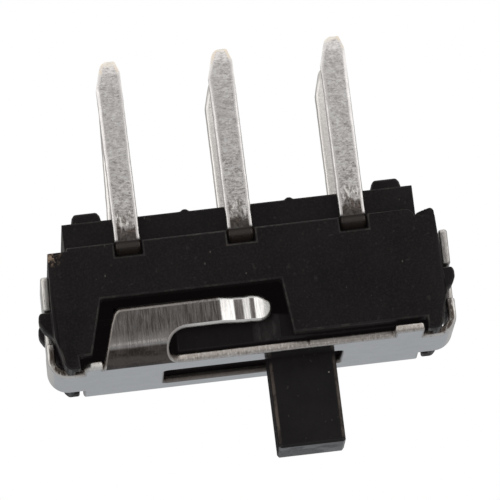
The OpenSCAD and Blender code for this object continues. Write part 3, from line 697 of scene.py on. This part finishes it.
def pattern_cuts():
    """(point, direction) of the lines that divide the flat pattern where it is bent, waved or nicked."""
    cuts = [s * (LEG_START + quarter(LEG_BEND) * k / 14) for s in (1, -1) for k in range(15)]
    cuts += [TIP_X + 0.0125 * k for k in range(1, 96)]
    cuts += [NICK_X + 0.012 * k for k in range(-5, 6)]
    across = [LIP_Y - quarter(WALL_BEND) * k / 14 for k in range(15)]
    return ([(Vector((x, 0, 0)), Vector((1, 0, 0))) for x in cuts]
            + [(Vector((0, y, 0)), Vector((0, 1, 0))) for y in across])


def flat_pattern():
    """The flat pattern's points, its faces, and for each point of a cut edge the next one along it."""
    bm = bmesh.new()
    for loop in (cover_outline(), slot_outline()):
        vs = [bm.verts.new((x, y, 0)) for x, y in inset_loop(loop)]
        for i, v in enumerate(vs):
            bm.edges.new((vs[i - 1], v))
    bmesh.ops.triangle_fill(bm, use_beauty=True, use_dissolve=False, edges=bm.edges)
    # Each line cuts only the faces near it, and the lines along X only those round the spring
    for co, no in pattern_cuts():
        near = [f for f in bm.faces if any((v.co - co).dot(no) > -0.3 for v in f.verts)
                and any((v.co - co).dot(no) < 0.3 for v in f.verts)]
        if no.y:
            near = [f for f in near if f.calc_center_median().y < LIP_Y + 0.5 and
                    TIP_X - 0.5 < f.calc_center_median().x < 4.2]
        geom = list({v for f in near for v in f.verts}) + list({e for f in near for e in f.edges}) + near
        bmesh.ops.bisect_plane(bm, geom=geom, dist=1e-5, plane_co=co, plane_no=no)
    bmesh.ops.triangulate(bm, faces=[f for f in bm.faces if len(f.verts) > 4])
    bm.faces.ensure_lookup_table()
    bm.verts.index_update()
    flat = [v.co.copy() for v in bm.verts]
    faces = [[v.index for v in f.verts] for f in bm.faces]
    if bm.faces[0].normal.z < 0:
        faces = [f[::-1] for f in faces]
    bm.free()
    # A cut edge is one that no face runs along the other way
    ways = {(a, b) for f in faces for a, b in zip(f, f[1:] + f[:1])}
    following = {a: b for a, b in sorted(ways) if (b, a) not in ways}
    return flat, faces, following


# Section through a cut edge, from the outer face to the inner one: rolled edge, burnish, tear, burr.
# (inset as a share of the roll, depth as a share of the thickness)
PROFILE = ((1.0, 0.0), (0.80, 0.012), (0.55, 0.05), (0.28, 0.13), (0.09, 0.27), (0.0, 0.44), (0.05, 0.5),
           (0.08, 0.8), (0.18, 0.94), (0.4, 1.0))
# (share out over the edge, share up from the sheet) of the normal at each of its points
LEAN = [(0.0, 1.0)]
LEAN += [tuple(Vector(((d2 - d0) * SHEET_T, (i0 - i2) * 0.08)).normalized())
         for (i0, d0), (i2, d2) in zip(PROFILE, PROFILE[2:])]
LEAN += [(0.0, -1.0)]


class Pattern:
    """The flat pattern with its cut edges. It gives places and normals on the bent sheet."""

    def __init__(self):
        self.flat, self.faces, self.following = flat_pattern()
        before = {b: a for a, b in self.following.items()}
        self.inward = {i: mitre(*(self.flat[j].xy for j in (before[i], i, self.following[i])))
                       for i in self.following}

    def place(self, i, inset, depth):
        """Where point i ends up with this inset from the cut edge, at this depth."""
        co = self.flat[i]
        if i not in self.inward:
            return sheet_point(co.x, co.y, depth * SHEET_T)
        if abs(co.y - LIP_Y) < 0.12:
            off = (co.x - NICK_X) / 0.020
            nick = 1.8 * math.exp(-off * off) - 0.3 * math.exp(-(off + 2) ** 2)
            inset += nick * min(1, max(0, (depth - 0.3) / 0.3))
        p = co.xy + self.inward[i] * roll(co.y) * (inset - 1)
        return sheet_point(p.x, p.y, depth * SHEET_T)

    def normal(self, i, k):
        """Normal of the sheet at point i, leaning out over its edge as PROFILE does at step k."""
        x, y, e = self.flat[i].x, self.flat[i].y, 0.004
        along = Vector(sheet_point(x + e, y, 0)) - Vector(sheet_point(x - e, y, 0))
        across = Vector(sheet_point(x, y + e, 0)) - Vector(sheet_point(x, y - e, 0))
        up = along.cross(across).normalized()
        if i not in self.inward:
            return up * LEAN[k][1]
        step = self.inward[i].normalized() * e
        out = Vector(sheet_point(x - step.x, y - step.y, 0)) - Vector(sheet_point(x + step.x, y + step.y, 0))
        return (out.normalized() * LEAN[k][0] + up * LEAN[k][1]).normalized()


def cover():
    """The cover: its outer face, its inner face and the cut edge between them, which is a little uneven."""
    pattern = Pattern()
    n, last, torn_depth = len(pattern.flat), len(PROFILE) - 1, 0.3
    verts, cut, normals = [], [], []

    def add_point(i, k, uneven=1.0):
        inset, depth = PROFILE[k]
        verts.append(pattern.place(i, inset * uneven, depth))
        cut.append(depth)
        normals.append(pattern.normal(i, k))
        return len(verts) - 1

    for k in (0, last):
        for i in range(n):
            add_point(i, k)
    rings = [{i: i for i in pattern.following}]
    for k in range(1, last):
        depth = PROFILE[k][1]
        ring_at = {}
        for i in pattern.following:
            uneven = 1 + 0.5 * noise.noise(pattern.flat[i] * 9 + Vector((0, 0, depth * 3)))
            ring_at[i] = add_point(i, k, uneven if depth > torn_depth else 1.0)
        rings.append(ring_at)
    rings.append({i: i + n for i in pattern.following})
    faces, slots = [], []
    for f in pattern.faces:
        faces += [f, [i + n for i in reversed(f)]]
        slots += [0, 0]
    for top, low in zip(rings, rings[1:]):
        for i, j in pattern.following.items():
            faces.append([top[i], low[i], low[j], top[j]])
            slots.append(1)
    ob = make_object("cover_sheet", verts, faces, [FACE, CUT], slots)
    keep_values(ob, "cut", cut)
    ob.data.normals_split_custom_set_from_vertices(normals)
    return ob


sheet = cover()
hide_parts("cover")
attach(sheet, "base")


# ---------------------------------------------------------------- terminals: stamped strip

def at(z, table):
    """Straight-line value of a table of (z, value) at z."""
    for (z0, a), (z1, b) in zip(table, table[1:]):
        if z <= z1:
            return a + (b - a) * max(0.0, z - z0) / (z1 - z0)
    return table[-1][1]


def ring(x0, x1, y0, y1, rx, ry):
    """Points round a rectangle with oval corners, with 1 at a corner, 0 on a wide side, 2 on a thin one."""
    out = []
    corner = 6
    wide, thin = (0.02, 0.1, 0.2, 0.35, 0.5, 0.65, 0.8, 0.9, 0.98), (0.25, 0.5, 0.75)
    # Centre of each corner, its first angle, and the side after it: its end and where its points lie
    sides = ((x1 - rx, y1 - ry, 0, (x0 + rx, y1), wide), (x0 + rx, y1 - ry, 90, (x0, y0 + ry), thin),
             (x0 + rx, y0 + ry, 180, (x1 - rx, y0), wide), (x1 - rx, y0 + ry, 270, (x1, y1 - ry), thin))
    for cx, cy, a0, (ex, ey), along in sides:
        for c in range(corner + 1):
            a = math.radians(a0 + 90 * c / corner)
            out.append((cx + rx * math.cos(a), cy + ry * math.sin(a), 1.0))
        px, py, _ = out[-1]
        for f in along:
            out.append((px + (ex - px) * f, py + (ey - py) * f, 0.0 if along is wide else 2.0))
    return out


def strip_tables():
    """The strip's left, right, front and back faces, each as a table of (z, place), and its heights."""
    w, b, t, jog = PIN_W / 2, BLADE_W / 2, PIN_T / 2, PIN_T / 2 * 0.42
    low, high = SKIRT_Z + jog + 0.01, FLOOR_Z - 0.04
    w0, w1 = WIDEN_Z
    left = [(PIN_Z, 0.11 - w), (PIN_Z + 0.015, 0.085 - w), (PIN_Z + 0.134, 0.05 - w), (PIN_Z + 0.27, -w),
            (w0, -w), (w1, -b), (BLADE_TOP, -b)]
    right = [(PIN_Z, 0.33 - w), (PIN_Z + 0.03, 0.38 - w), (PIN_Z + 0.07, w - 0.16), (PIN_Z + 0.134, w - 0.13),
             (PIN_Z + 0.60, w), (w0, w), (w1, b), (BLADE_TOP, b)]
    front = [(PIN_Z, -ROW_Y - t), (low + jog, -ROW_Y - t), (high + jog, -BLADE_Y - t),
             (BLADE_TOP, -BLADE_Y - t)]
    back = [(PIN_Z, -ROW_Y + t), (low - jog, -ROW_Y + t), (high - jog, -BLADE_Y + t),
            (BLADE_TOP - 0.08, -BLADE_Y + t), (BLADE_TOP, -BLADE_Y + t - 0.1)]
    near_tip = (0, 0.004, 0.012, 0.025, 0.04, 0.06, 0.08, 0.1, 0.13, 0.16, 0.2, 0.25, 0.3, 0.36)
    levels = {PIN_Z + v for v in near_tip} | {PIN_Z + 0.4 + 0.045 * j for j in range(106)}
    levels |= {low - jog, low + jog, high - jog, high + jog, w0, w1, BLADE_TOP}
    return (left, right, front, back), sorted(z for z in levels if z <= BLADE_TOP)


def lean_at(z, i, rear):
    """How far the right-hand terminal of the rear row leans to -X at height z. The others stand straight."""
    return 0.17 * min(1, max(0.0, 0.9 - z) / 4) - 0.04 if rear and i > 0 and z < 1.1 else 0


def section(z, tables, seed):
    """The strip's section at height z: a bevelled tip, slightly uneven sides, oval corners."""
    x0, x1, y0, y1 = (at(z, table) for table in tables)
    above = z - PIN_Z
    uneven = 0.012 * min(1, above * 3) if z < 0.7 else 0
    x0 += uneven * abs(noise.noise(Vector((z * 3.1, 1, 0)) + seed))
    x1 -= uneven * abs(noise.noise(Vector((z * 2.7, 4, 0)) + seed))
    bevel = 0.09 * max(0.0, 1 - above / 0.30) ** 1.3
    y0, y1 = y0 + bevel, y1 - bevel
    rx = min(0.075 + 0.015 * noise.noise(Vector((z * 2, 9, 0)) + seed), 0.32 * (x1 - x0))
    return ring(x0, x1, y0, y1, rx, min(0.10, 0.38 * (y1 - y0), rx))


def terminal(name, i, rear):
    """One stamped terminal, skinned over its sections. i is -1, 0 or 1 along X. The rear row is a mirror."""
    tables, levels = strip_tables()
    seed = Vector((i * 7.3, rear * 5.1, 0))
    side = -1 if rear else 1
    pts, corner = [], []
    for z in levels:
        lean = lean_at(z, i, rear)
        for x, y, c in section(z, tables, seed):
            pts.append((x - lean + PITCH * i, side * y, z))
            corner.append(c)
    count, rows = len(pts) // len(levels), len(levels)
    faces = []
    for r in range(0, (rows - 1) * count, count):
        for c in range(count):
            d = (c + 1) % count
            faces.append([r + c, r + d, r + count + d, r + count + c])
    faces.append(list(reversed(range(count))))
    faces.append([(rows - 1) * count + c for c in range(count)])
    ob = make_object(name, pts, faces, [TIN])
    keep_values(ob, "corner", corner)
    if rear:
        ob.data.flip_normals()
    sharpen(ob, 70)
    return ob


for i, side in ((-1, "left"), (0, "middle"), (1, "right")):
    for rear, row in ((0, "front"), (1, "rear")):
        pin = terminal("pin_%s_%s" % (row, side), i, rear)
        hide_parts("terminal_%s_%s" % (row, side))
        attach(pin, "base")


# ---------------------------------------------------------------- moulded parts and clips

shell = from_node("housing", "housing_moulding", (HOUSING, HOUSING_EDGE), 0.045)
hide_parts("housing")
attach(shell, "base")

knob = from_node("slider", "slider_moulding", (SLIDER, SLIDER_EDGE), 0.085, 4)
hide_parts("slider")
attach(knob, "slider")

for node in ("contact_clip_front", "contact_clip_rear"):
    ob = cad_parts[node]
    ob.data.materials.clear()
    ob.data.materials.append(BRONZE)


# ---------------------------------------------------------------- floor, light and camera

def floor():
    """Plain floor that the camera sees white. To the part it glows white beside its ends, grey with a
    dim band in front of it, and dimmer behind it."""
    half, z = 1500, cad_lo[2] / MM - 0.02
    m = Mat("floor_white", rough=0.8)
    m.set("Base Color", (0.9, 0.9, 0.9, 1))
    front = m.add("ShaderNodeMapRange", Value=m.y, From__Min=-100.0, From__Max=0.0).outputs["Result"]
    front = m.ramp(front, (0.0, 0.55), (0.60, 0.40), (0.645, 0.15), (0.70, 0.15),
                   (0.725, 0.55), (0.96, 0.60), (0.985, 1.0))
    near = m.times(m.step(m.math("ABSOLUTE", m.x), 2.5, 5.0), m.step(m.y, -16, -9))
    far = m.math("MAXIMUM", m.step(m.x, -12, -18), m.step(m.x, 21, 28))
    glow = m.math("MAXIMUM", front, m.times(m.math("MAXIMUM", near, far), 1.15))
    glow = m.times(glow, m.step(m.y, 0.2, 2.5, 1.0, 0.36))
    seen = m.add("ShaderNodeEmission", Color=(1, 1, 1, 1))
    reflected = m.add("ShaderNodeEmission", Color=(1, 0.985, 0.965, 1), Strength=glow)
    mix = m.add("ShaderNodeMixShader")
    m.plug(m.add("ShaderNodeLightPath").outputs["Is Camera Ray"], mix.inputs[0])
    m.plug(reflected.outputs[0], mix.inputs[1])
    m.plug(seen.outputs[0], mix.inputs[2])
    m.plug(mix.outputs[0], m.tree.nodes["Material Output"].inputs["Surface"])
    corners = [(-half, -half, z), (half, -half, z), (half, half, z), (-half, half, z)]
    ob = make_object("floor", corners, [(0, 1, 2, 3)], [m.mat])


def studio():
    """Light tent as the world: an even grey, a little bluer behind the part, and white to the camera."""
    world = bpy.data.worlds.new("studio")
    world.use_nodes = True
    w = Nodes(world.node_tree)
    direction = w.add("ShaderNodeTexCoord").outputs["Generated"]
    behind = w.step(w.vector_math("DOT_PRODUCT", direction, (0, 1, 0)), 0.50, 0.75)
    tent = w.mix(behind, (0.4, 0.4, 0.4), (0.345, 0.355, 0.37))
    seen = w.mix(w.add("ShaderNodeLightPath").outputs["Is Camera Ray"], tent, (1, 1, 1))
    w.plug(seen, w.tree.nodes["Background"].inputs["Color"])
    bpy.context.scene.world = world


def camera():
    """Camera at the photograph's angle, upside down, so that the pins point up in the picture."""
    data = bpy.data.cameras.new("camera")
    cam = link_object("camera", data)
    data.sensor_width = 36.0
    data.lens = LENS
    data.clip_start = 0.01
    data.clip_end = 20.0
    look = Vector(CAMERA_LOOK).normalized()
    right = look.cross(Vector((0, 0, 1))).normalized()
    up = right.cross(look)
    c, s = math.cos(CAMERA_ROLL), math.sin(CAMERA_ROLL)
    m = Matrix((c * right + s * up, c * up - s * right, -look)).transposed().to_4x4()
    m.translation = Vector(CAMERA_AT) * MM
    cam.matrix_world = m
    bpy.context.scene.camera = cam


floor()
studio()
camera()
bpy.context.scene.view_settings.view_transform = "Standard"
bpy.context.scene.view_settings.look = "None"
